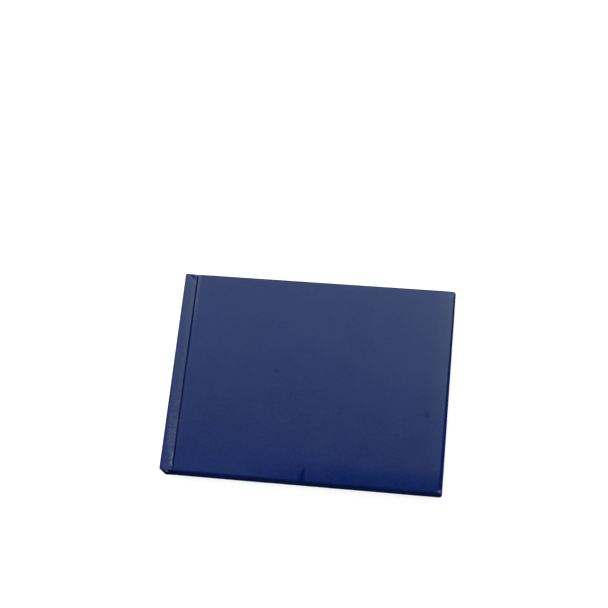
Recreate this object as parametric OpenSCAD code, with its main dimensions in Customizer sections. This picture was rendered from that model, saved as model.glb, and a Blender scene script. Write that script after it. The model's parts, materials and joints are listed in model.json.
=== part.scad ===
// Landscape hardcover logbook: case-bound, eight sewn signatures, cloth-covered boards.
//
// The book is closed and lies on its back cover. The origin is the middle of the underside,
// +X runs from the spine to the fore edge, +Y to the head of the pages, and +Z up through the
// front cover. The two cover hinges run along Y, on the centres of the rounds at the two
// long edges of the spine, at x = hinge_x and z = hinge_z and z = total_t - hinge_z.
// The front half is the back half mirrored about the middle of the page block.

/* [Case] */
// Width of the cover, from the spine's face to the fore edge
cover_w = 210; // [180:1:260]
// Height of the cover, from tail to head
cover_h = 155; // [140:1:200]
// Thickness of the grey boards
board_t = 2.4; // [2:0.1:3]
// Thickness of the covering leatherette
cloth_t = 0.4; // [0.3:0.05:0.4]
// Radius of the cloth round the outer corners, in plan
corner_r = 1.4; // [1:0.1:3]
// Width of the cloth turned in over the inner edges
turn_in = 12; // [10:1:16]
// Width from the spine's face to the near edge of the board
joint_w = 10.4; // [9.5:0.1:14]
// Width of the pressed groove beside the board
groove_w = 1.6; // [1.2:0.1:2]

/* [Page block] */
// Thickness of one sewn signature
signature_t = 1.6; // [1.2:0.05:2.2]
// Gap between neighbouring leaves and signatures
leaf_gap = 0.1; // [0.05:0.01:0.2]
// How far the covers stand past the pages
square_w = 3; // [3:0.1:5]
// Thickness of a flyleaf
flyleaf_t = 0.2; // [0.15:0.05:0.3]
// Thickness of a pastedown
pastedown_t = 0.15; // [0.1:0.05:0.2]
// Margin of cloth left showing round a pastedown
pastedown_margin = 3.5; // [3:0.1:6]

/* [Spine] */
// Radius of the cloth rounds that the covers hinge on
hinge_r = 1; // [0.8:0.1:1.2]
// Thickness of the card inlay that stiffens the spine
inlay_t = 1; // [0.8:0.1:1]
// Thickness of the kraft paper lining
lining_t = 0.3; // [0.2:0.05:0.3]
// Thickness of the open-weave mull
mull_t = 0.25; // [0.2:0.05:0.3]
// How far each mull wing reaches over its board
wing_reach = 25; // [20:1:35]
// Radius of the sewing thread
thread_r = 0.2; // [0.15:0.01:0.22]
// Pairs of sewing stations along the spine
thread_pairs = 3; // [2:1:4]
// Radius of the headband's bead
band_r = 0.8; // [0.6:0.1:0.8]

/* [Hidden] */
$fn = 48;
SIGNATURES = 8;

// Small gaps between pieces: at an overlap, at a joint and round a thread.
slack = 0.1;
joint_gap = 0.15;
thread_gap = 0.05;

// Heights through the back cover, from its outer face inwards.
board_z = cloth_t;
board_top = board_z + board_t;
turn_in_top = board_top + cloth_t;
pastedown_top = turn_in_top + pastedown_t;
flyleaf_z = pastedown_top + leaf_gap;
pages_z = flyleaf_z + flyleaf_t + leaf_gap;
signature_pitch = signature_t + leaf_gap;
pages_top = pages_z + SIGNATURES * signature_pitch - leaf_gap;
total_t = pages_top + pages_z;

// Places along X.
spine_x = -cover_w / 2;
fore_x = cover_w / 2;
hinge_x = spine_x + hinge_r;
hinge_z = hinge_r;
strip_x = hinge_x + hinge_r + joint_gap;
board_x = spine_x + joint_w + cloth_t;
groove_x = spine_x + joint_w;
inlay_x = spine_x + cloth_t;
spine_turn_in_x = inlay_x + inlay_t;
pages_x = spine_x + square_w;
pages_fore_x = fore_x - square_w;
thread_x = pages_x - thread_r - thread_gap;
mull_x = thread_x - thread_r - thread_gap - mull_t;
lining_x = mull_x - lining_t;
wing_x = board_x + wing_reach;
band_x = pages_x - 0.3;

// Half sizes along Y.
half_h = cover_h / 2;
half_board = half_h - cloth_t;
half_pages = half_h - square_w;
half_pastedown = half_h - pastedown_margin;
half_window = half_h - turn_in;
half_lining = half_pages - 2;
half_mull = half_pages - 7;
half_threads = half_pages - 17;
band_y = half_pages + band_r + slack;

// The joint strip drops gently from the spine, then steeply into the groove.
strip_start_z = 0.15;
strip_end_z = 0.8;
groove_z = board_top - cloth_t;
groove_slope = 1.2;
slope_lean = cloth_t / 2;

// The inlay starts just past the hinge rounds, and cuts run a little past a face.
inlay_z = 2 * hinge_r + slack;
cut = 1;

CLOTH = [0.10, 0.17, 0.42];
BOARD = [0.62, 0.60, 0.56];
ENDPAPER = [0.93, 0.94, 0.93];
PAGE = [0.93, 0.92, 0.87];
MULL = [0.90, 0.87, 0.78];
KRAFT = [0.72, 0.58, 0.42];
THREAD = [0.95, 0.93, 0.88];
BAND = [0.10, 0.14, 0.36];

// ---- Helpers ----

// A block between two X places, two heights, and the same half size each way along Y.
module slab(x0, x1, half_y, z0, z1) {
    translate([x0, -half_y, z0]) cube([x1 - x0, 2 * half_y, z1 - z0]);
}

// A slab whose two corners at the fore edge are round in plan.
module cover_slab(x0, x1, half_y, r, z0, z1) {
    translate([0, 0, z0]) linear_extrude(z1 - z0) {
        translate([x0, -half_y]) square([x1 - r - x0, 2 * half_y]);
        translate([x0, r - half_y]) square([x1 - x0, 2 * (half_y - r)]);
        for (side = [-1, 1])
            translate([x1 - r, side * (half_y - r)]) circle(r);
    }
}

// An XZ outline carried along Y from y0 to y1.
module along_y(y0, y1) {
    translate([0, y1, 0]) rotate([90, 0, 0]) linear_extrude(y1 - y0) children();
}

// The same thing at the head and at the tail.
module both_ends() {
    children();
    mirror([0, 1, 0]) children();
}

// Turns a back-cover shape into its partner on the front cover.
module front_side() {
    translate([0, 0, total_t]) mirror([0, 0, 1]) children();
}

// ---- Case: one cover, drawn as the back one ----

module board_shape() {
    cover_slab(board_x, fore_x - cloth_t, half_board, corner_r - cloth_t, board_z, board_top);
}

// One layer of cloth over the joint, lying `layer` cloth thicknesses under the outer one.
module strip_outline(layer) {
    drop = layer * cloth_t;
    lean = layer * slope_lean;
    near = groove_x - groove_w - groove_slope;
    polygon([
        [strip_x, strip_start_z + drop],
        [near - lean, strip_end_z + drop],
        [near + groove_slope - lean, groove_z + drop],
        [groove_x, groove_z + drop],
        [board_x, groove_z + drop + cloth_t],
        [near + groove_slope - lean - slope_lean, groove_z + drop + cloth_t],
        [near - lean - slope_lean, strip_end_z + drop + cloth_t],
        [strip_x, strip_start_z + drop + cloth_t]
    ]);
}

// Cloth over the outer face, round the edges and turned in on the inner face.
module cover_cloth_shape() {
    difference() {
        cover_slab(groove_x, fore_x, half_h, corner_r, 0, turn_in_top);
        board_shape();
        slab(groove_x - cut, fore_x - turn_in, half_window, board_top, turn_in_top + cut);
    }
    along_y(-half_h, half_h) strip_outline(0);
    both_ends() along_y(half_window, half_h) strip_outline(1);
}

// Wing of the mull: it crosses the joint and is glued to the board under the pastedown.
module mull_wing_shape() {
    slab(strip_x, wing_x, half_window - slack, board_top, turn_in_top);
}

// Endpaper glued down over the board, the turn-ins and the mull's wing.
module pastedown_shape() {
    slab(strip_x, fore_x - pastedown_margin, half_pastedown, turn_in_top, pastedown_top);
    slab(wing_x + slack, fore_x - turn_in - slack, half_window - slack, board_top, pastedown_top);
}

module flyleaf_shape() {
    slab(pages_x, pages_fore_x, half_pages, flyleaf_z, flyleaf_z + flyleaf_t);
}

module back_board() color(BOARD) board_shape();
module back_cover_cloth() color(CLOTH) cover_cloth_shape();
module back_mull_wing() color(MULL) mull_wing_shape();
module back_pastedown() color(ENDPAPER) pastedown_shape();
module back_flyleaf() color(ENDPAPER) flyleaf_shape();

module front_board() color(BOARD) front_side() board_shape();
module front_cover_cloth() color(CLOTH) front_side() cover_cloth_shape();
module front_mull_wing() color(MULL) front_side() mull_wing_shape();
module front_pastedown() color(ENDPAPER) front_side() pastedown_shape();
module front_flyleaf() color(ENDPAPER) front_side() flyleaf_shape();

// ---- Spine ----

module spine_inlay() {
    color(BOARD) slab(inlay_x, spine_turn_in_x, half_board, inlay_z, total_t - inlay_z);
}

// Cloth over the spine, with a round at each cover hinge and a turn-in at head and tail.
module spine_cloth() {
    color(CLOTH) {
        slab(spine_x, inlay_x, half_h, hinge_z, total_t - hinge_z);
        for (z = [hinge_z, total_t - hinge_z])
            along_y(-half_h, half_h) translate([hinge_x, z]) circle(hinge_r);
        both_ends() {
            along_y(half_board, half_h)
                translate([spine_x, inlay_z])
                    square([inlay_t + 2 * cloth_t, total_t - 2 * inlay_z]);
            along_y(half_window, half_h)
                translate([spine_turn_in_x, inlay_z])
                    square([cloth_t, total_t - 2 * inlay_z]);
        }
    }
}

module spine_lining() {
    color(KRAFT) slab(lining_x, mull_x, half_lining, pages_z, pages_top);
}

module mull() {
    color(MULL) slab(mull_x, mull_x + mull_t, half_mull, pages_z, pages_top);
}

// Stitches that tie the folds together, at evenly spaced stations along the spine.
module sewing_thread() {
    step = 2 * half_threads / (2 * thread_pairs - 1);
    color(THREAD)
        for (i = [0 : 2 * thread_pairs - 1])
            translate([thread_x, i * step - half_threads, pages_z + signature_t / 2])
                cylinder(r = thread_r, h = pages_top - pages_z - signature_t);
}

// Sewn bead that hides the glue at the end of the folds.
module band_shape() {
    translate([band_x, band_y, pages_z])
        cylinder(r = band_r, h = pages_top - pages_z);
}

module headband() color(BAND) band_shape();
module tailband() color(BAND) mirror([0, 1, 0]) band_shape();

// ---- Pages ----

// A gathering of folded sheets, counted from the front cover, with its fold at the spine.
module signature(number) {
    fold_r = signature_t / 2;
    z = pages_z + (SIGNATURES - number) * signature_pitch;
    color(PAGE) {
        slab(pages_x + fold_r, pages_fore_x, half_pages, z, z + signature_t);
        along_y(-half_pages, half_pages) translate([pages_x + fold_r, z + fold_r]) circle(fold_r);
    }
}

back_board();
back_cover_cloth();
back_mull_wing();
back_pastedown();
back_flyleaf();
front_board();
front_cover_cloth();
front_mull_wing();
front_pastedown();
front_flyleaf();
spine_inlay();
spine_cloth();
spine_lining();
mull();
sewing_thread();
headband();
tailband();
signature(1);  // signature_1
signature(2);  // signature_2
signature(3);  // signature_3
signature(4);  // signature_4
signature(5);  // signature_5
signature(6);  // signature_6
signature(7);  // signature_7
signature(8);  // signature_8
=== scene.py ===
"""Looks for a landscape hardcover logbook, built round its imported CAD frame.

Shapes are worked out in millimetres and turned into metres when a mesh is made. Both covers
are drawn as the back cover, whose outer face is at height 0, and the front one is mirrored.
"""

import json
import math

import bpy
import numpy as np
from mathutils import Matrix, Vector


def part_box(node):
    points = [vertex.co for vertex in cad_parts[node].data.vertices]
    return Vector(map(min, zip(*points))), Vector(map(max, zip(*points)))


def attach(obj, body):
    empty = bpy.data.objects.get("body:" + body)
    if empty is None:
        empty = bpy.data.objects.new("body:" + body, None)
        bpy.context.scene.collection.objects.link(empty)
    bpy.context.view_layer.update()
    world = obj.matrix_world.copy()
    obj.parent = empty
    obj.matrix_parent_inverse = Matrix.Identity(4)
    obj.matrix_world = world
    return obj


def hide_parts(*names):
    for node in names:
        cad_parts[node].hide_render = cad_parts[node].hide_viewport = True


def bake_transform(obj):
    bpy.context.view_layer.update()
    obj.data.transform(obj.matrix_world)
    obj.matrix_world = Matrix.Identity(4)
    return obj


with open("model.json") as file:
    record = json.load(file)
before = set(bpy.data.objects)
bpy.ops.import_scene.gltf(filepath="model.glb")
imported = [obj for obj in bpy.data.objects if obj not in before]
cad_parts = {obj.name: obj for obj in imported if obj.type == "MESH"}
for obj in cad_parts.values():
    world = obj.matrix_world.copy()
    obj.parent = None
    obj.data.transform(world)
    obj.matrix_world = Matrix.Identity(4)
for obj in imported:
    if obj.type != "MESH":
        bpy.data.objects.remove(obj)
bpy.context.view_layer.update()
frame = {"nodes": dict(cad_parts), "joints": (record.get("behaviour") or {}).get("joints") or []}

MM = 0.001


# ---- Dimensions, all from the frame ----

def box_mm(node):
    """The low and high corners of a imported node's box."""
    low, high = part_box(node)
    return np.array(low) / MM, np.array(high) / MM


def joint(name):
    return next(j for j in frame["joints"] if j["name"] == name)


CLOTH_HIGH = box_mm("back_cover_cloth")[1]
BOARD_LOW, BOARD_HIGH = box_mm("back_board")
SPINE_LOW, SPINE_HIGH = box_mm("spine_cloth")
INLAY_LOW, INLAY_HIGH = box_mm("spine_inlay")
PASTE_HIGH = box_mm("back_pastedown")[1]
FLY_LOW, FLY_HIGH = box_mm("back_flyleaf")
WING_HIGH = box_mm("back_mull_wing")[1]

SPINE_X = SPINE_LOW[0]
FORE_X = CLOTH_HIGH[0]
HALF_Y = CLOTH_HIGH[1]
TOTAL_Z = SPINE_HIGH[2]
CLOTH_T = BOARD_LOW[2]
BOARD_TOP = BOARD_HIGH[2]
TURN_IN_TOP = CLOTH_HIGH[2]
TURN_IN_Y = WING_HIGH[1]
TURN_IN_X = FORE_X - (HALF_Y - TURN_IN_Y)
GROOVE_X = BOARD_LOW[0] - CLOTH_T
HINGE_X = joint("back_hinge")["pos_m"][0] / MM
HINGE_Z = joint("back_hinge")["pos_m"][2] / MM
HINGE_R = HINGE_X - SPINE_X
PAGES_X = FLY_LOW[0]


# ---- Curves and noise ----

def smooth(value, low, high):
    """0 below low, 1 above high, and an even S between them."""
    t = np.clip((value - low) / (high - low), 0, 1)
    return t * t * (3 - 2 * t)


def bump(value, centre, width):
    return np.exp(-((value - centre) / width) ** 2)


def ripple(x, y, size, seed):
    """Smooth hills about `size` across, from -1 to 1, the same on every run."""
    total = 0
    for k in range(5):
        turn = 2.4 * k + seed
        along = (x * math.cos(turn) + y * math.sin(turn)) / size
        total = total + np.sin(along * (3.1 + 0.83 * k) + 1.7 * seed + 2.2 * k)
    return total / 5


# ---- Mesh building ----

def add_object(name, data):
    piece = bpy.data.objects.new(name, data)
    bpy.context.scene.collection.objects.link(piece)
    return piece


def link(name, vertices, faces, smooth_angle=40, wear_and_painted_light=None):
    """A mesh object from millimetres; its rest position is kept for the materials, with a mask of
    rubbing, painted highlights and painted shade when one is given.
    """
    mesh = bpy.data.meshes.new(name)
    mesh.from_pydata((np.asarray(vertices) * MM).tolist(), [], faces)
    mesh.validate()
    mesh.update()
    rest = mesh.attributes.new("rest", "FLOAT_VECTOR", "POINT")
    rest.data.foreach_set("vector", (np.asarray(vertices, np.float32) * MM).ravel())
    if wear_and_painted_light is not None:
        mesh.attributes.new("wear_and_painted_light", "FLOAT", "POINT").data.foreach_set("value", wear_and_painted_light.astype(np.float32))
    mesh.shade_smooth()
    mesh.set_sharp_from_angle(angle=math.radians(smooth_angle))
    return add_object(name, mesh)


def sheet_faces(outer, inner, first):
    """Vertices and faces of a closed sheet between two grids of matching points."""
    rows, cols = outer.shape[:2]
    top = first + np.arange(rows * cols).reshape(rows, cols)
    low = top + rows * cols
    faces = []
    for i in range(rows - 1):
        for j in range(cols - 1):
            faces.append((top[i, j], top[i + 1, j], top[i + 1, j + 1], top[i, j + 1]))
            faces.append((low[i, j], low[i, j + 1], low[i + 1, j + 1], low[i + 1, j]))
    for i in range(rows - 1):
        for j, flip in ((0, False), (cols - 1, True)):
            side = (top[i, j], low[i, j], low[i + 1, j], top[i + 1, j])
            faces.append(side[::-1] if flip else side)
    for j in range(cols - 1):
        for i, flip in ((0, True), (rows - 1, False)):
            side = (top[i, j], low[i, j], low[i, j + 1], top[i, j + 1])
            faces.append(side[::-1] if flip else side)
    points = np.concatenate([outer.reshape(-1, 3), inner.reshape(-1, 3)])
    return points, faces


def thick_sheets(name, sheets, smooth_angle=40, wear_and_painted_light=None):
    """One object of several closed sheets, each given as an outer and an inner grid."""
    vertices, faces, count = [], [], 0
    for outer, inner in sheets:
        points, quads = sheet_faces(outer, inner, count)
        vertices.append(points)
        faces.extend([tuple(int(v) for v in quad) for quad in quads])
        count += len(points)
    return link(name, np.concatenate(vertices), faces, smooth_angle, wear_and_painted_light)


def flat_grid(x, y, z):
    """Points at height z over every pair of places in x and y."""
    xx, yy = np.meshgrid(x, y, indexing="ij")
    return np.stack([xx, yy, np.broadcast_to(z, xx.shape)], 2)


def mirrored(grids):
    """The front cover's grids from the back cover's, with the faces still pointing out."""
    flip = np.array([1, 1, -1])
    shift = np.array([0, 0, TOTAL_Z])
    return [grid[:, ::-1] * flip + shift for grid in grids]


def span(low, high, step):
    """Evenly spaced values from low to high, about step apart, both ends included."""
    return np.linspace(low, high, max(2, int(round(abs(high - low) / step)) + 1))


def refined(values, low, high, step):
    """The same places in rising order, but about step apart between low and high."""
    kept = values[(values < low) | (values > high)]
    return np.sort(np.concatenate([kept, span(low, high, step)]))


# ---- Cover cloth ----

EDGE_R = 0.8
CORNER_R = 2.0
SPINE_CORNER_R = 1.5
SPINE_CORNER_PULL = 0.7

# The strip beside the spine, and the groove between it and the board.
STRIP_DIP = 1.0
STRIP_LIFT = 0.75
STRIP_LIFT_L = 45
GROOVE_DEPTH = 1.9
GROOVE_W = 0.4
GROOVE_RISE = 1.0
GROOVE_RIM_X = GROOVE_X - GROOVE_W - GROOVE_RISE

# How far the board's margins curl and bow, and how wide they are.
FORE_CURL = 0.75
FORE_CURL_W = (1.2, 3.5)
HEAD_CURL = 0.3
HEAD_CURL_W = 1.3
WARP = 0.38
WARP_W = 15
TAIL_WARP = 0.5
TAIL_WARP_W = 17

# Folds and gathers of the cloth, and how far from the tail the raised crease fades out.
FOLD_T = 0.06
FOLD_GAP = 0.1
CREASE_H = 0.16
CREASE_L = (10, 16)
GATHER_H = 0.12

# Small pressed marks on the covers, and the stretches of the cloth that hold them.
KNOCK_X = 1.5
KNOCK_DEPTH = 0.12
SCRATCH_X, SCRATCH_Y = -25.8, 4.0
SCRATCH_DEPTH = 0.03
SPOT_X, SPOT_Y = 89.9, -20.4
MARKED_X = ((-30, -21), (-2, 7), (87, 93))
MARKED_Y = ((0, 8), (-24, -17), (3 - HALF_Y, 13 - HALF_Y))

# Stations in from the head and the tail, close together round the edge.
END_STEPS = np.array([0, 0.06, 0.18, 0.36, 0.6, 0.85, 1.1, 1.6, 2.2])


def arc(cx, cz, radius, start, end, steps):
    """Points on a round stretch of an XZ path, between two angles in degrees."""
    angles = np.radians(np.linspace(start, end, steps + 1))
    return np.stack([cx + radius * np.cos(angles), cz + radius * np.sin(angles)], 1)


def strip_height(x):
    """Height of the joint strip's outer face, from the hinge round down to the groove."""
    along = np.clip((x - HINGE_X) / (GROOVE_RIM_X - HINGE_X), 0, 1)
    gentle = STRIP_DIP * (0.75 * along + 0.25 * along ** 3)
    return gentle + (GROOVE_DEPTH - STRIP_DIP) * smooth(x, GROOVE_RIM_X, GROOVE_RIM_X + GROOVE_RISE)


def cover_profile():
    """Matching outer and inner XZ paths from the fore edge to the middle of the spine."""
    near = GROOVE_X + EDGE_R
    fore = FORE_X - EDGE_R
    outer = [arc(fore, EDGE_R, EDGE_R, 0, -90, 6)]
    inner = [arc(fore, TURN_IN_TOP - EDGE_R, EDGE_R, 0, 90, 6) - [0, TURN_IN_TOP - BOARD_TOP]]

    face = np.concatenate([span(fore, FORE_X - 5, 0.4)[1:], span(FORE_X - 5, near, 2.1)[1:-1]])
    for low, high in MARKED_X:
        face = refined(face, low, high, 0.45)
    face = face[::-1]
    outer.append(np.stack([face, np.zeros_like(face)], 1))
    inner.append(np.stack([face, np.full_like(face, BOARD_TOP)], 1))

    edge = arc(near, EDGE_R, EDGE_R, 270, 180, 6)
    wall = np.stack([np.full(3, GROOVE_X), np.linspace(EDGE_R, GROOVE_DEPTH, 5)[1:-1]], 1)
    down = np.concatenate([edge, wall])
    outer.append(down)
    inner.append(np.stack([np.linspace(near, GROOVE_X + 0.1, len(down)),
                           np.full(len(down), BOARD_TOP)], 1))

    strip_x = np.concatenate([
        span(GROOVE_X, GROOVE_X - GROOVE_W, 0.25),
        span(GROOVE_X - GROOVE_W, GROOVE_X - GROOVE_W - 2, 0.16)[1:],
        span(GROOVE_X - GROOVE_W - 2, HINGE_X, 0.5)[1:-1],
    ])
    strip = np.stack([strip_x, strip_height(strip_x)], 1)
    round_ = arc(HINGE_X, HINGE_Z, HINGE_R, 270, 180, 8)
    spine_z = span(HINGE_Z, TOTAL_Z / 2, 1.2)[1:]
    spine = np.stack([np.full_like(spine_z, SPINE_X), spine_z], 1)
    rest = np.concatenate([strip, round_, spine])
    outer.append(rest)
    slope = np.gradient(rest, axis=0)
    normal = np.stack([-slope[:, 1], slope[:, 0]], 1)
    normal *= -1 / np.linalg.norm(normal, axis=1)[:, None]
    inner.append(rest + CLOTH_T * normal)
    return np.concatenate(outer), np.concatenate(inner)


def marks(x, y):
    """Where small pressed marks lie, from 0 to 1: a knock at the tail edge, a scratch and a spot."""
    from_tail = HALF_Y + y
    knock = bump(x, KNOCK_X + 0.18 * from_tail, np.clip(2.4 - 0.17 * from_tail, 0.7, 2.4))
    knock = knock * (1 - smooth(from_tail, 6, 13))
    along = (x - SCRATCH_X) * 0.85 - (y - SCRATCH_Y) * 0.53
    across = (x - SCRATCH_X) * 0.53 + (y - SCRATCH_Y) * 0.85 - 0.08 * along ** 2
    scratch = bump(np.hypot(along / 2.4, across / 0.9), 0, 1)
    spot = bump(np.hypot(x - SPOT_X, 0.6 * (y - SPOT_Y)), 0, 1.7)
    return knock, scratch, spot


def face_sink(x, y, seed):
    """How far a cover's outer face lies below a true plane: the board and its cloth follow it."""
    to_end = HALF_Y - np.abs(y)
    to_fore = FORE_X - x
    sink = 0.04 * (1 + ripple(x, y, 70, seed)) + 0.02 * (1 + ripple(x, y, 21, seed + 2))

    # The board bows a little towards its fore edge, and towards one end past the first quarter.
    sink += WARP * np.clip(1 - to_fore / WARP_W, 0, 1) ** 2
    tail_bow = np.clip(1 - (HALF_Y + y) / TAIL_WARP_W, 0, 1) ** 2
    sink += TAIL_WARP * tail_bow * smooth(x, -0.4 * FORE_X, 0.1 * FORE_X)

    # Its edges are pressed round, most at the fore edge near the tail.
    curl_w = np.interp(y, (-HALF_Y, HALF_Y), FORE_CURL_W[::-1])
    curl_w = curl_w * (1 - 0.6 * bump(to_end, 0, 3))
    fore_curl = FORE_CURL * np.clip(1 - to_fore / curl_w, 0, 1) ** 1.3
    head_curl = HEAD_CURL * np.clip(1 - (HALF_Y - y) / HEAD_CURL_W, 0, 1) ** 1.3
    sink += np.maximum(fore_curl, head_curl)

    knock, scratch, _ = marks(x, y)
    return sink + KNOCK_DEPTH * knock + SCRATCH_DEPTH * scratch


def edge_waves(x, y, seed):
    """How far the outline draws back in X and in Y: round corners and a slightly wavy pull."""
    to_end = HALF_Y - np.abs(y)
    past = np.clip(CORNER_R - to_end, 0, CORNER_R)
    back = CORNER_R - np.sqrt(CORNER_R ** 2 - past ** 2)
    back = 0.85 * back * smooth(x, FORE_X - 9, FORE_X - 0.5)
    back += 0.08 * (1 + ripple(y, 0 * y, 9, seed + 1)) * (1 - smooth(FORE_X - x, 0, 5))
    end = 0.06 * (1 + ripple(x, 0 * x, 10, seed + 3)) * (1 - smooth(to_end, 0, 4))
    past = np.clip(SPINE_CORNER_R - (x - SPINE_X), 0, SPINE_CORNER_R)
    pull = SPINE_CORNER_PULL * (SPINE_CORNER_R - np.sqrt(SPINE_CORNER_R ** 2 - past ** 2))
    end += pull * (1 - smooth(to_end, 0, 4))
    return back, np.sign(y) * end


def cover_grids(seed):
    """Outer and inner faces of one cover's cloth, with its turn-ins, edges and creases."""
    outer_xz, inner_xz = cover_profile()
    ends = HALF_Y - END_STEPS
    body = span(-HALF_Y + END_STEPS[-1], HALF_Y - END_STEPS[-1], 2)[1:-1]
    for low, high in MARKED_Y:
        body = refined(body, low, high, 0.6)
    y = np.concatenate([-ends, body, ends[::-1]])

    def grid(path):
        x = np.repeat(path[:, :1], len(y), 1)
        z = np.repeat(path[:, 1:], len(y), 1)
        return np.stack([x, np.repeat(y[None], len(path), 0), z], 2)

    outer, inner = grid(outer_xz), grid(inner_xz)
    x, yy = outer[..., 0], outer[..., 1]
    to_end = HALF_Y - np.abs(yy)

    # A second layer of cloth where it is turned in, thickest round the spine's inlay.
    turned_y = smooth(np.abs(yy), TURN_IN_Y - 0.3, TURN_IN_Y + 0.3)
    turned_x = smooth(x, TURN_IN_X - 0.3, TURN_IN_X + 0.3)
    over_board = smooth(x, GROOVE_X - 0.6, GROOVE_X)
    on_spine = smooth(outer[..., 2], HINGE_Z, INLAY_LOW[2] + 0.4) * (x < HINGE_X - 0.99 * HINGE_R)
    spine_extra = INLAY_HIGH[0] - INLAY_LOW[0]
    way = inner - outer
    way /= np.linalg.norm(way, axis=2)[..., None]
    extra = CLOTH_T * np.maximum(turned_y, turned_x * over_board) + spine_extra * turned_y * on_spine
    up = np.array([0, 0, 1.0])
    lift = np.where((over_board > 0)[..., None], up, way)
    inner = inner + lift * extra[..., None]

    # The fore edge's turn-in lies over the other two, and its ends are folded at 45 degrees.
    mitre = (FORE_X - x) - to_end
    near_corner = (1 - smooth(FORE_X - x, 13, 20)) * (1 - smooth(to_end, 13, 20)) * over_board
    fold = (1 - smooth(mitre, -0.25, 0.25)) * near_corner
    inner[..., 2] += FOLD_T * fold - FOLD_GAP * bump(mitre, 0.3, 0.35) * near_corner

    # The unsupported strip sags a little, lifts towards the tail, and is creased at its ends.
    dent = face_sink(x, yy, seed) * over_board
    in_strip = 1 - smooth(x, GROOVE_X - 1.2, GROOVE_X - 0.2)
    in_strip *= smooth(x, HINGE_X + 0.5, HINGE_X + 2.5)
    dent += in_strip * (0.05 + 0.05 * ripple(x, yy, 25, seed + 4))
    dent -= STRIP_LIFT * in_strip * np.clip(1 - (HALF_Y + yy) / STRIP_LIFT_L, 0, 1) ** 1.6
    for place, lean, depth in ((-0.9, 0.55, 0.16), (-0.78, 0.4, 0.08), (0.93, -0.7, 0.3)):
        line = yy - place * HALF_Y - lean * (x - GROOVE_X + GROOVE_W)
        dent += depth * in_strip * bump(line, 0, 0.9) * smooth(x, GROOVE_X - 7, GROOVE_X - 3)
        dent -= 0.8 * depth * in_strip * bump(line, 1.8, 0.9) * smooth(x, GROOVE_X - 7, GROOVE_X - 3)

    # A raised crease beside the groove, near the tail.
    crease_x = GROOVE_RIM_X - 0.4 + 1.6 * (1 - smooth(to_end, 1.5, 5))
    on_crease = bump(x, crease_x, 0.3) * (1 - smooth(to_end, *CREASE_L)) * smooth(to_end, 1, 2.5)
    on_crease = on_crease * (yy < 0)
    dent -= CREASE_H * on_crease

    # Small gathers where the cloth is folded over the two outer corners.
    from_corner = np.hypot(FORE_X - x, to_end)
    around = np.arctan2(to_end, FORE_X - x)
    dent += GATHER_H * bump(from_corner, 3.2, 1.5) * (1 + np.cos(7 * around + seed)) * over_board
    spare = 0.85 * strip_height(np.minimum(x, GROOVE_X - GROOVE_W)) * in_strip
    outer += way * np.maximum(dent, -spare)[..., None]

    # Round the edges at head and tail.
    thick = np.linalg.norm(inner - outer, axis=2)
    radius = np.minimum(EDGE_R, 0.48 * thick)
    beyond = np.clip(radius - to_end, 0, radius)
    tuck = radius - np.sqrt(np.maximum(radius ** 2 - beyond ** 2, 0))
    way = (inner - outer) / thick[..., None]
    outer += way * tuck[..., None]
    inner -= way * tuck[..., None]
    back, end = edge_waves(x, yy, seed)
    for points in (outer, inner):
        points[..., 0] -= back
        points[..., 1] -= end

    # Paler where rubbing shows at the corners, with a painted highlight there too, and painted
    # highlights on the raised crease, the groove's rim near the head and the strip towards the tail.
    # Pressed marks
    # count below 0: the material paints shade into the knock and the scratch, and makes the spot darker
    # and duller.
    wear_and_painted_light = 0.9 * bump(from_corner, 0.8, 1.7) + 1.3 * on_crease
    wear_and_painted_light += 0.7 * bump(x, GROOVE_X + 0.5, 0.4) * smooth(yy, 0.3 * HALF_Y, 0.95 * HALF_Y)
    wear_and_painted_light += 0.19 * in_strip * (1 - smooth(HALF_Y + yy, 20, 100))
    knock, scratch, spot = marks(x, yy)
    wear_and_painted_light -= (1.3 * knock + 0.6 * scratch + 0.5 * spot) * over_board
    return outer, inner, np.clip(wear_and_painted_light, -1, 1)


COVER_SEED = {"front": 1.3, "back": 4.1}


def make_cover(side):
    """A cover's cloth with half of the spine's: the inner face has a material of its own."""
    *grids, wear_and_painted_light = cover_grids(COVER_SEED[side])
    if side == "front":
        grids = mirrored(grids)
        wear_and_painted_light = wear_and_painted_light[:, ::-1]
    both_faces = np.concatenate([wear_and_painted_light.ravel(), np.zeros(wear_and_painted_light.size)])
    piece = thick_sheets(f"{side}_case_cloth", [grids], 50, both_faces)
    for polygon in piece.data.polygons:
        polygon.material_index = int(min(polygon.vertices) >= wear_and_painted_light.size)
    z0, z1 = HINGE_Z + 1, HINGE_Z - 1
    if side == "front":
        z0, z1 = TOTAL_Z - z0, TOTAL_Z - z1
    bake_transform(piece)
    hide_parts(f"{side}_cover_cloth")
    return piece


# ---- Boards ----

BOARD_R = 1.2


def rounding(distance, radius):
    """Drop of a surface that turns down over an edge, `distance` in from that edge."""
    beyond = np.clip(radius - distance, 0, radius)
    return radius - np.sqrt(radius ** 2 - beyond ** 2)


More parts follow.
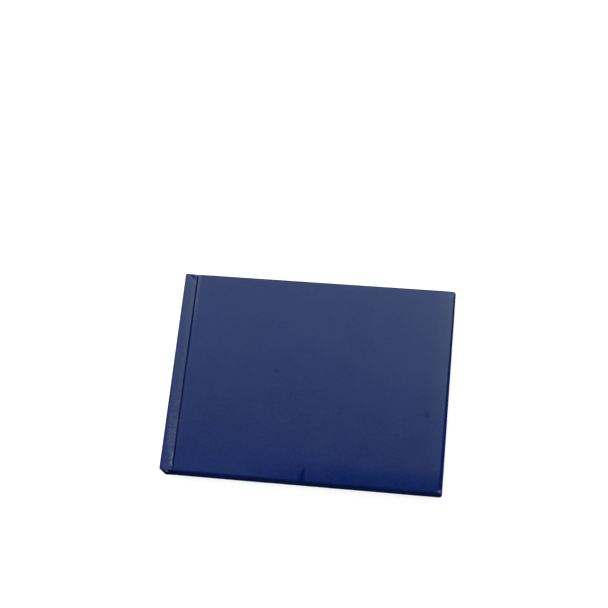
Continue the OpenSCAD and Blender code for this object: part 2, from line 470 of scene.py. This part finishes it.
def make_board(side):
    """The stiff board in a cover: it follows the cloth's face, and its edges are pressed round."""
    seed = COVER_SEED[side]
    x = np.concatenate([
        span(BOARD_LOW[0], BOARD_LOW[0] + BOARD_R, 0.2),
        span(BOARD_LOW[0] + BOARD_R, BOARD_HIGH[0] - 5, 2.5)[1:],
        span(BOARD_HIGH[0] - 5, BOARD_HIGH[0], 0.25)[1:],
    ])
    edge = span(BOARD_HIGH[1] - BOARD_R, BOARD_HIGH[1], 0.2)
    y = np.concatenate([-edge[::-1], span(-edge[0], edge[0], 2.5)[1:-1], edge])
    outer, inner = flat_grid(x, y, BOARD_LOW[2]), flat_grid(x, y, BOARD_TOP)
    xx, yy = outer[..., 0], outer[..., 1]
    to_edge = np.minimum(np.minimum(xx - BOARD_LOW[0], BOARD_HIGH[0] - xx), BOARD_HIGH[1] - np.abs(yy))
    outer[..., 2] += face_sink(xx, yy, seed) + rounding(to_edge, BOARD_R) + 0.02
    inner[..., 2] -= 0.5 * rounding(to_edge, BOARD_R / 2) + 0.02
    back, end = edge_waves(xx, yy, seed)
    for points in (outer, inner):
        points[..., 0] -= 1.3 * back
        points[..., 1] -= 1.3 * end
    grids = [outer, inner]
    if side == "front":
        grids = mirrored(grids)
    piece = thick_sheets(f"{side}_cover_board", [grids[::-1]])
    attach(piece, f"{side}_cover")
    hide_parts(f"{side}_board")
    return piece


def make_inlay():
    """The card strip in the spine, with rounded ends that stay inside the folded cloth."""
    half = INLAY_HIGH[1] - SPINE_CORNER_PULL * SPINE_CORNER_R - 0.3
    z = span(INLAY_LOW[2], INLAY_HIGH[2], 0.4)
    zz, yy = np.meshgrid(z, span(-half, half, 6), indexing="ij")
    yy = yy * (1 - rounding(np.minimum(zz - z[0], z[-1] - zz), BOARD_R) / half)
    outer = np.stack([np.full_like(zz, INLAY_LOW[0] + 0.02), yy, zz], 2)
    inner = np.stack([np.full_like(zz, INLAY_HIGH[0] - 0.02), yy, zz], 2)
    piece = thick_sheets("spine_card", [(outer, inner)])
    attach(piece, "spine")
    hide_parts("spine_inlay")
    return piece


# ---- Endpapers ----

PAPER_T = 0.13


def paper_stations(low, high):
    """Places along X, close together at the fold and where the paper bends over a joint."""
    return np.concatenate([
        span(low, low + 4, 0.35),
        span(low + 4, low + 22, 1.0)[1:],
        span(low + 22, high, 4.2)[1:],
    ])


def make_pastedown(side):
    """Paper glued inside the cover: the edges of the turn-ins and the mull show through it."""
    x = np.concatenate([
        span(PAGES_X, PAGES_X + 9, 0.35),
        span(PAGES_X + 9, WING_HIGH[0] - 2, 2.0)[1:],
        span(WING_HIGH[0] - 2, WING_HIGH[0] + 2, 0.5)[1:],
        span(WING_HIGH[0] + 2, TURN_IN_X - 2, 4.0)[1:],
        span(TURN_IN_X - 2, TURN_IN_X + 2, 0.5)[1:],
        span(TURN_IN_X + 2, PASTE_HIGH[0], 1.0)[1:],
    ])
    half = span(TURN_IN_Y + 2, PASTE_HIGH[1], 1.3)
    ridge = span(TURN_IN_Y - 2, TURN_IN_Y + 2, 0.5)
    y = np.concatenate([-half[::-1], -ridge[::-1][1:], span(2 - TURN_IN_Y, TURN_IN_Y - 2, 4)[1:],
                        ridge[1:], half[1:]])
    grid = flat_grid(x, y, PASTE_HIGH[2])
    xx, yy = grid[..., 0], grid[..., 1]
    on_cloth = np.maximum(smooth(np.abs(yy), TURN_IN_Y - 1, TURN_IN_Y + 0.4),
                          smooth(xx, TURN_IN_X - 1, TURN_IN_X + 0.4))
    on_mull = 1 - smooth(xx, WING_HIGH[0] - 0.5, WING_HIGH[0] + 1)
    sink = 0.2 * (1 - on_cloth) * (1 - 0.6 * on_mull)
    sink += 0.12 * bump(xx, GROOVE_X - 0.8, 1.0)
    sink += 0.02 * (1 + ripple(xx, yy, 30, 2.0 if side == "front" else 5.0))
    grid[..., 2] -= sink
    grids = [grid, grid - np.array([0, 0, PAPER_T])]
    if side == "front":
        grids = mirrored(grids)
    piece = thick_sheets(f"{side}_pastedown_paper", [grids])
    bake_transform(piece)
    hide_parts(f"{side}_pastedown")
    return piece


def make_flyleaf(side):
    """The free leaf beside a pastedown, with a faint curl and a slightly uneven fore edge."""
    x = paper_stations(PAGES_X, FLY_HIGH[0])
    y = span(FLY_LOW[1], FLY_HIGH[1], 8)
    seed = 3.0 if side == "front" else 6.0
    top = flat_grid(x, y, FLY_HIGH[2] - 0.03)
    top[..., 2] += 0.012 * ripple(top[..., 0], top[..., 1], 40, seed)
    uneven = 0.1 * ripple(0, top[..., 1], 90, seed) - 0.1
    top[..., 0] += np.where(top[..., 0] > FLY_HIGH[0] - 1, uneven, 0)
    grids = [top, top - np.array([0, 0, PAPER_T])]
    if side == "front":
        grids = mirrored(grids)
    piece = thick_sheets(f"{side}_flyleaf_paper", [grids])
    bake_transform(piece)
    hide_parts(f"{side}_flyleaf")
    return piece


# ---- Signatures ----

SHEETS = 5
LEAF_T = 0.11


def folded_sheet(low, high, depth, pitch, seed):
    """One folded sheet, `depth` sheets in from the outside: the grids of its two faces."""
    middle = (low[2] + high[2]) / 2
    radius = (high[2] - low[2]) / 2 - depth * pitch - 0.015
    fold_x = low[0] + (high[2] - low[2]) / 2
    y = span(low[1], high[1], 11)
    trim = high[0] - fold_x
    leaf = paper_stations(0, trim)[1:]
    angles = np.radians(np.linspace(90, 270, 9))

    def path(r):
        top = np.stack([fold_x + leaf[::-1], np.full(len(leaf), middle + r)], 1)
        bend = np.stack([fold_x + r * np.cos(angles), middle + r * np.sin(angles)], 1)
        under = np.stack([fold_x + leaf, np.full(len(leaf), middle - r)], 1)
        return np.concatenate([top, bend, under])

    grids = []
    for r in (radius - LEAF_T, radius):
        xz = path(r)
        grid = np.zeros((len(xz), len(y), 3))
        grid[..., 0], grid[..., 1], grid[..., 2] = xz[:, :1], y[None], xz[:, 1:]
        far = smooth(grid[..., 0], fold_x + 60, high[0])
        sway = 0.012 * ripple(grid[..., 0], grid[..., 1], 45, seed) * far
        grid[..., 2] += sway
        ragged = 0.16 * (1 + math.sin(7.3 * seed)) / 2 + 0.05 * (1 + ripple(0, grid[..., 1], 60, seed))
        grid[..., 0] -= ragged * smooth(grid[..., 0], high[0] - 2, high[0])
        uneven = 0.14 * (1 + math.sin(11.9 * seed)) / 2
        grid[..., 1] *= 1 - uneven / high[1]
        grids.append(grid)
    return grids


def make_signature(number):
    """Folded sheets nested in one another; the leaves bend close beside the spine."""
    node = f"signature_{number}"
    low, high = box_mm(node)
    pitch = (high[2] - low[2]) / (2 * SHEETS)
    sheets = [folded_sheet(low, high, k, pitch, 1.7 * number + 0.61 * k) for k in range(SHEETS)]
    piece = thick_sheets(f"{node}_leaves", sheets)
    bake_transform(piece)
    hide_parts(node)
    return piece


# ---- Headbands ----

WRAP_PITCH = 0.75


def make_band(node):
    """A sewn bead: thread wound round a core."""
    low, high = box_mm(node)
    centre = (low + high) / 2
    radius = (high[0] - low[0]) / 2
    z = span(low[2], high[2], 0.08)
    around = np.radians(np.linspace(0, 360, 25)[:-1])
    vertices, faces = [], []
    for height in z:
        for angle in around:
            wrap = abs(math.sin(math.pi * height / WRAP_PITCH + 0.5 * angle))
            r = radius * (0.86 + 0.13 * wrap)
            vertices.append((centre[0] + r * math.cos(angle), centre[1] + r * math.sin(angle), height))
    turns = len(around)
    for i in range(len(z) - 1):
        for k in range(turns):
            after = (k + 1) % turns
            ring, above = i * turns, (i + 1) * turns
            faces.append((ring + k, ring + after, above + after, above + k))
    faces.append(tuple(range(turns))[::-1])
    faces.append(tuple(range((len(z) - 1) * turns, len(z) * turns)))
    piece = link(f"{node}_bead", vertices, faces)
    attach(piece, "spine")
    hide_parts(node)
    return piece


# ---- Materials ----

def node_of(tree, kind, inputs=None, **settings):
    node = tree.nodes.new(kind)
    for key, value in settings.items():
        setattr(node, key, value)
    for key, value in (inputs or {}).items():
        if isinstance(value, bpy.types.NodeSocket):
            tree.links.new(value, node.inputs[key])
        else:
            node.inputs[key].default_value = value
    return node


def new_material(name, roughness, **sockets):
    """A Principled material, its node tree and its shader, with these sockets set."""
    material = bpy.data.materials.new(name)
    material.use_nodes = True
    tree = material.node_tree
    shader = tree.nodes["Principled BSDF"]
    shader.inputs["Roughness"].default_value = roughness
    for key, value in sockets.items():
        shader.inputs[key.replace("_", " ")].default_value = value
    return material, tree, shader


def rest_position(tree, own_mesh):
    """Where a point was when the book was closed, so that patterns don't slide as it opens."""
    if own_mesh:
        return node_of(tree, "ShaderNodeAttribute", attribute_name="rest").outputs["Vector"]
    return node_of(tree, "ShaderNodeTexCoord").outputs["Object"]


def noise(tree, position, scale, detail=3, stretch=(1, 1, 1)):
    if stretch != (1, 1, 1):
        position = node_of(tree, "ShaderNodeMapping", {"Vector": position, "Scale": stretch}).outputs[0]
    return node_of(tree, "ShaderNodeTexNoise",
                   {"Vector": position, "Scale": scale, "Detail": detail}).outputs["Fac"]


def ramp(tree, factor, stops):
    node = node_of(tree, "ShaderNodeValToRGB", {"Fac": factor})
    elements = node.color_ramp.elements
    while len(elements) < len(stops):
        elements.new(0.5)
    for element, (place, colour) in zip(elements, stops):
        element.position = place
        element.color = (*colour, 1)
    return node.outputs["Color"]


def remap(tree, factor, low, high, to_low, to_high):
    return node_of(tree, "ShaderNodeMapRange", {
        "Value": factor, "From Min": low, "From Max": high, "To Min": to_low, "To Max": to_high,
    }).outputs["Result"]


def math_node(tree, operation, a, b):
    return node_of(tree, "ShaderNodeMath", {0: a, 1: b}, operation=operation).outputs[0]


def mix_node(tree, blend, factor, a, b):
    return node_of(tree, "ShaderNodeMix", {0: factor, 6: a, 7: b},
                   data_type="RGBA", blend_type=blend).outputs[2]


def add_bump(tree, shader, height, strength, distance):
    """Relief on a shader's surface, from a height socket."""
    inputs = {"Height": height, "Strength": strength, "Distance": distance}
    normal = node_of(tree, "ShaderNodeBump", inputs).outputs["Normal"]
    tree.links.new(normal, shader.inputs["Normal"])


# Pale tone where rubbing shows at the corners, also used as a painted highlight on the crease, the
# groove's rim and the strip.
RUB_AND_HIGHLIGHT_TONE = (0.105, 0.125, 0.22, 1)


def leatherette(name, inside):
    """Embossed leatherette, satin outside and dull inside: paler where rubbing shows, with painted
    highlights and painted shade from the same mask, and dull where pressed.
    """
    gloss = 0.12 if inside else 0.5
    material, tree, shader = new_material(
        name, 0.2, IOR=1.5, Specular_Tint=(0.69, 0.85, 0.88, 1), Specular_IOR_Level=gloss)
    position = rest_position(tree, True)
    cloud = noise(tree, position, 45, 4)
    fine = noise(tree, position, 520, 3)
    colour = ramp(tree, cloud, ((0.3, (0.0008, 0.0108, 0.093)), (0.7, (0.0018, 0.0125, 0.101))))
    wear_and_painted_light = node_of(tree, "ShaderNodeAttribute", attribute_name="wear_and_painted_light").outputs["Fac"]
    # A random grain tone, multiplied by painted shade in the pressed marks.
    shade = math_node(tree, "MULTIPLY", remap(tree, fine, 0.35, 0.65, 0.87, 1.1),
                      remap(tree, wear_and_painted_light, -1, 0, 0.7, 1))
    shaded = mix_node(tree, "MULTIPLY", 1.0, colour, shade)
    # How far the colour goes towards the pale tone: rubbing at the corners, and painted highlights.
    rub_and_highlight = math_node(tree, "MULTIPLY", wear_and_painted_light, remap(tree, fine, 0.35, 0.6, 0.35, 1.0))
    worn_and_painted_light = mix_node(tree, "MIX", rub_and_highlight, shaded, RUB_AND_HIGHLIGHT_TONE)
    if not inside:
        tree.links.new(remap(tree, wear_and_painted_light, -1, 0, 0.0, gloss), shader.inputs["Specular IOR Level"])
    tree.links.new(worn_and_painted_light, shader.inputs["Base Color"])
    rough = math_node(tree, "ADD", remap(tree, cloud, 0.3, 0.7, 0.19, 0.22),
                      remap(tree, fine, 0.3, 0.7, -0.02, 0.02))
    tree.links.new(rough, shader.inputs["Roughness"])
    pebble = node_of(tree, "ShaderNodeTexVoronoi",
                     {"Vector": position, "Scale": 1500, "Randomness": 1}, feature="SMOOTH_F1")
    height = math_node(tree, "ADD", pebble.outputs["Distance"], remap(tree, fine, 0, 1, 0, 0.8))
    add_bump(tree, shader, height, 0.1, 0.00006)
    return material


def paper(name, pale, deep, own_mesh=True):
    """Uncoated paper: faint fibres and a very slight change of tone."""
    material, tree, shader = new_material(name, 0.82, IOR=1.4, Sheen_Weight=0.05)
    position = rest_position(tree, own_mesh)
    cloud = noise(tree, position, 38, 3)
    fibre = noise(tree, position, 900, 4, (1, 0.35, 1))
    tone = math_node(tree, "ADD", remap(tree, cloud, 0.3, 0.7, 0, 0.7),
                     remap(tree, fibre, 0.3, 0.7, 0, 0.3))
    tree.links.new(ramp(tree, tone, ((0.0, deep), (1.0, pale))), shader.inputs["Base Color"])
    add_bump(tree, shader, fibre, 0.12, 0.00006)
    return material


def millboard():
    """Grey board, speckled by the scraps it is made from."""
    material, tree, shader = new_material("grey_millboard", 0.9)
    position = rest_position(tree, True)
    speck = noise(tree, position, 1400, 5)
    colour = ramp(tree, speck, (
        (0.35, (0.2, 0.19, 0.17)), (0.55, (0.42, 0.4, 0.36)), (0.7, (0.55, 0.53, 0.48))))
    tree.links.new(colour, shader.inputs["Base Color"])
    add_bump(tree, shader, speck, 0.3, 0.0001)
    return material


def weave(name, pale, deep, scale, own_mesh=False):
    """Plain weave from two crossed sets of threads."""
    material, tree, shader = new_material(name, 0.85, Sheen_Weight=0.2)
    position = rest_position(tree, own_mesh)
    waves = [node_of(tree, "ShaderNodeTexWave", {"Vector": position, "Scale": scale, "Distortion": 0.6},
                     bands_direction=axis).outputs["Fac"] for axis in ("Y", "DIAGONAL")]
    crossed = math_node(tree, "MAXIMUM", waves[0], waves[1])
    tree.links.new(ramp(tree, crossed, ((0.2, deep), (0.8, pale))), shader.inputs["Base Color"])
    add_bump(tree, shader, crossed, 0.5, 0.0001)
    return material


def paint(piece, *materials):
    """Give a piece its materials. Emptying an empty list would lose which face has which."""
    if len(piece.data.materials):
        piece.data.materials.clear()
    for material in materials:
        piece.data.materials.append(material)


def paint_cad(material, *nodes):
    """Give a material to nodes that ride as they were packed."""
    for name in nodes:
        paint(frame["nodes"][name], material)


# ---- Camera, lights and floor ----

LENS_MM = 75
VIEW_AZIMUTH = 21.1
VIEW_ELEVATION = 71.0
VIEW_ROLL = -16.1
VIEW_DISTANCE = 0.972
VIEW_TARGET = Vector((-0.010, 0.059, TOTAL_Z * MM))


def direction(azimuth, elevation):
    """Unit vector from the object towards a place round it: azimuth 0 is at -Y."""
    a, e = math.radians(azimuth), math.radians(elevation)
    return Vector((math.sin(a) * math.cos(e), -math.cos(a) * math.cos(e), math.sin(e)))


def make_camera():
    """The camera, turned about its own view line until the book lies as it does in the photo."""
    camera = add_object("camera", bpy.data.cameras.new("camera"))
    camera.data.lens = LENS_MM
    camera.data.sensor_width = 36
    back = direction(VIEW_AZIMUTH, VIEW_ELEVATION)
    right = direction(VIEW_AZIMUTH + 90, 0)
    facing = Matrix((right, back.cross(right), back)).transposed()
    turned = facing @ Matrix.Rotation(math.radians(VIEW_ROLL), 3, "Z")
    camera.matrix_world = Matrix.Translation(VIEW_TARGET + back * VIEW_DISTANCE) @ turned.to_4x4()
    bpy.context.scene.camera = camera


def make_light(name, azimuth, elevation, distance, size, power):
    """A soft area light that faces the book and isn't seen in its gloss."""
    data = bpy.data.lights.new(name, "AREA")
    data.shape = "RECTANGLE"
    data.size, data.size_y = size
    data.energy = power
    lamp = add_object(name, data)
    back = direction(azimuth, elevation)
    lamp.location = back * distance
    lamp.rotation_euler = back.to_track_quat("Z", "Y").to_euler()
    lamp.visible_glossy = False


SHADE = (0.004, 0.004, 0.005)
ROOM = (0.1, 0.1, 0.1)
SCREEN_STRENGTH = 2.3


def make_world():
    """A white screen that leans over the head of the book, brighter on one side, in a dim room."""
    world = bpy.data.worlds.new("studio")
    bpy.context.scene.world = world
    world.use_nodes = True
    tree = world.node_tree
    background = tree.nodes["Background"]
    place = node_of(tree, "ShaderNodeSeparateXYZ",
                    {"Vector": node_of(tree, "ShaderNodeTexCoord").outputs["Generated"]}).outputs
    towards_head = ramp(tree, place["Y"], (
        (0.15, SHADE), (0.25, (0.38, 0.38, 0.38)), (0.46, (1.0, 1.0, 1.0)), (0.52, (1.0, 1.0, 1.0)),
        (0.62, SHADE)))
    across = ramp(tree, remap(tree, place["X"], -1, 1, 0, 1), (
        (0.1, SHADE), (0.2, (1.7, 1.7, 1.7)), (0.32, (1.3, 1.3, 1.3)), (0.4, (1.0, 1.0, 1.0)),
        (0.47, (1.0, 1.0, 1.0)), (0.56, (2.2, 2.15, 2.05)), (0.64, (2.2, 2.15, 2.05)), (0.7, SHADE)))
    upward = remap(tree, place["Z"], 0.35, 0.7, 0, 1)
    screen = mix_node(tree, "MULTIPLY", 1.0, towards_head, across)
    lit = math_node(tree, "MAXIMUM", remap(tree, place["Z"], 0.05, 0.2, 0, 1),
                    remap(tree, place["X"], -0.5, -0.25, 1, 0))
    belt = mix_node(tree, "MIX", lit, (*SHADE, 1), (*ROOM, 1))
    tree.links.new(mix_node(tree, "MIX", upward, belt, screen), background.inputs["Color"])
    background.inputs["Strength"].default_value = SCREEN_STRENGTH


def make_stage(name, vertices, faces, roughness, cloud_scale, glow):
    """A white surface round the book that glows, so that it stays white, and isn't reflected."""
    mesh = bpy.data.meshes.new(name)
    mesh.from_pydata(vertices, [], faces)
    surface = add_object(name, mesh)
    material, tree, shader = new_material(
        f"white_{name}", roughness, Emission_Color=(1, 1, 1, 1), Emission_Strength=glow)
    cloud = noise(tree, rest_position(tree, False), cloud_scale, 2)
    tree.links.new(ramp(tree, cloud, ((0.3, (0.38, 0.38, 0.38)), (0.7, (0.4, 0.4, 0.4)))),
                   shader.inputs["Base Color"])
    paint(surface, material)
    surface.visible_glossy = False
    return surface


FLOOR_HALF = 12.0
FLOOR_Z = -0.0002
WALL_R = 11.5
WALL_H = 12.0
WALL_STEPS = 64


def make_floor():
    """A wide white table, a little below the book so that the two don't touch."""
    sides = (-FLOOR_HALF, FLOOR_HALF)
    corners = [(x, y, FLOOR_Z) for y in sides for x in sides]
    make_stage("floor", corners, [(0, 1, 3, 2)], 0.7, 3, 0.8)


def make_backdrop():
    """A pale wall all round, for the low views; it gives the book no light and no shadow."""
    turns = np.linspace(0, 2 * math.pi, WALL_STEPS, endpoint=False)
    ring = np.stack([WALL_R * np.cos(turns), WALL_R * np.sin(turns), np.full(WALL_STEPS, -0.01)], 1)
    vertices = np.concatenate([ring, ring + [0, 0, WALL_H]])
    after = [(k + 1) % WALL_STEPS for k in range(WALL_STEPS)]
    faces = [(k, k + WALL_STEPS, after[k] + WALL_STEPS, after[k]) for k in range(WALL_STEPS)]
    wall = make_stage("backdrop", vertices.tolist(), faces, 0.9, 1, 0.95)
    wall.visible_diffuse = False
    wall.visible_shadow = False


# ---- The book ----

make_camera()

cloth_materials = leatherette("navy_leatherette", False), leatherette("navy_turn_in", True)
endpaper_material = paper("white_endpaper", (0.86, 0.87, 0.86), (0.8, 0.81, 0.8))
page_material = paper("cream_page", (0.815, 0.79, 0.74), (0.78, 0.75, 0.7))

covers = {side: make_cover(side) for side in ("front", "back")}
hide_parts("spine_cloth")
board_material = millboard()
for side, cover in covers.items():
    paint(cover, *cloth_materials)
    paint(make_board(side), board_material)
    paint(make_pastedown(side), endpaper_material)
    paint(make_flyleaf(side), endpaper_material)
paint(make_inlay(), board_material)
for number in range(1, 9):
    paint(make_signature(number), page_material)
band_material = weave("navy_headband", (0.05, 0.08, 0.24), (0.015, 0.03, 0.12), 900, True)
for band in ("headband", "tailband"):
    paint(make_band(band), band_material)

paint_cad(paper("kraft_lining", (0.52, 0.37, 0.22), (0.42, 0.29, 0.16), False), "spine_lining")
paint_cad(weave("open_mull", (0.82, 0.78, 0.66), (0.45, 0.41, 0.32), 450),
          "mull", "front_mull_wing", "back_mull_wing")
paint_cad(weave("waxed_thread", (0.85, 0.82, 0.74), (0.6, 0.56, 0.46), 1500), "sewing_thread")

make_world()
make_light("key", -100, 50, 1.6, (1.2, 1.4), 17.5)
make_light("fill", 165, 50, 1.8, (1.6, 1.2), 13)
make_light("front", 10, 25, 1.8, (1.6, 0.8), 7)
make_floor()
make_backdrop()
bpy.context.scene.view_settings.view_transform = "Standard"
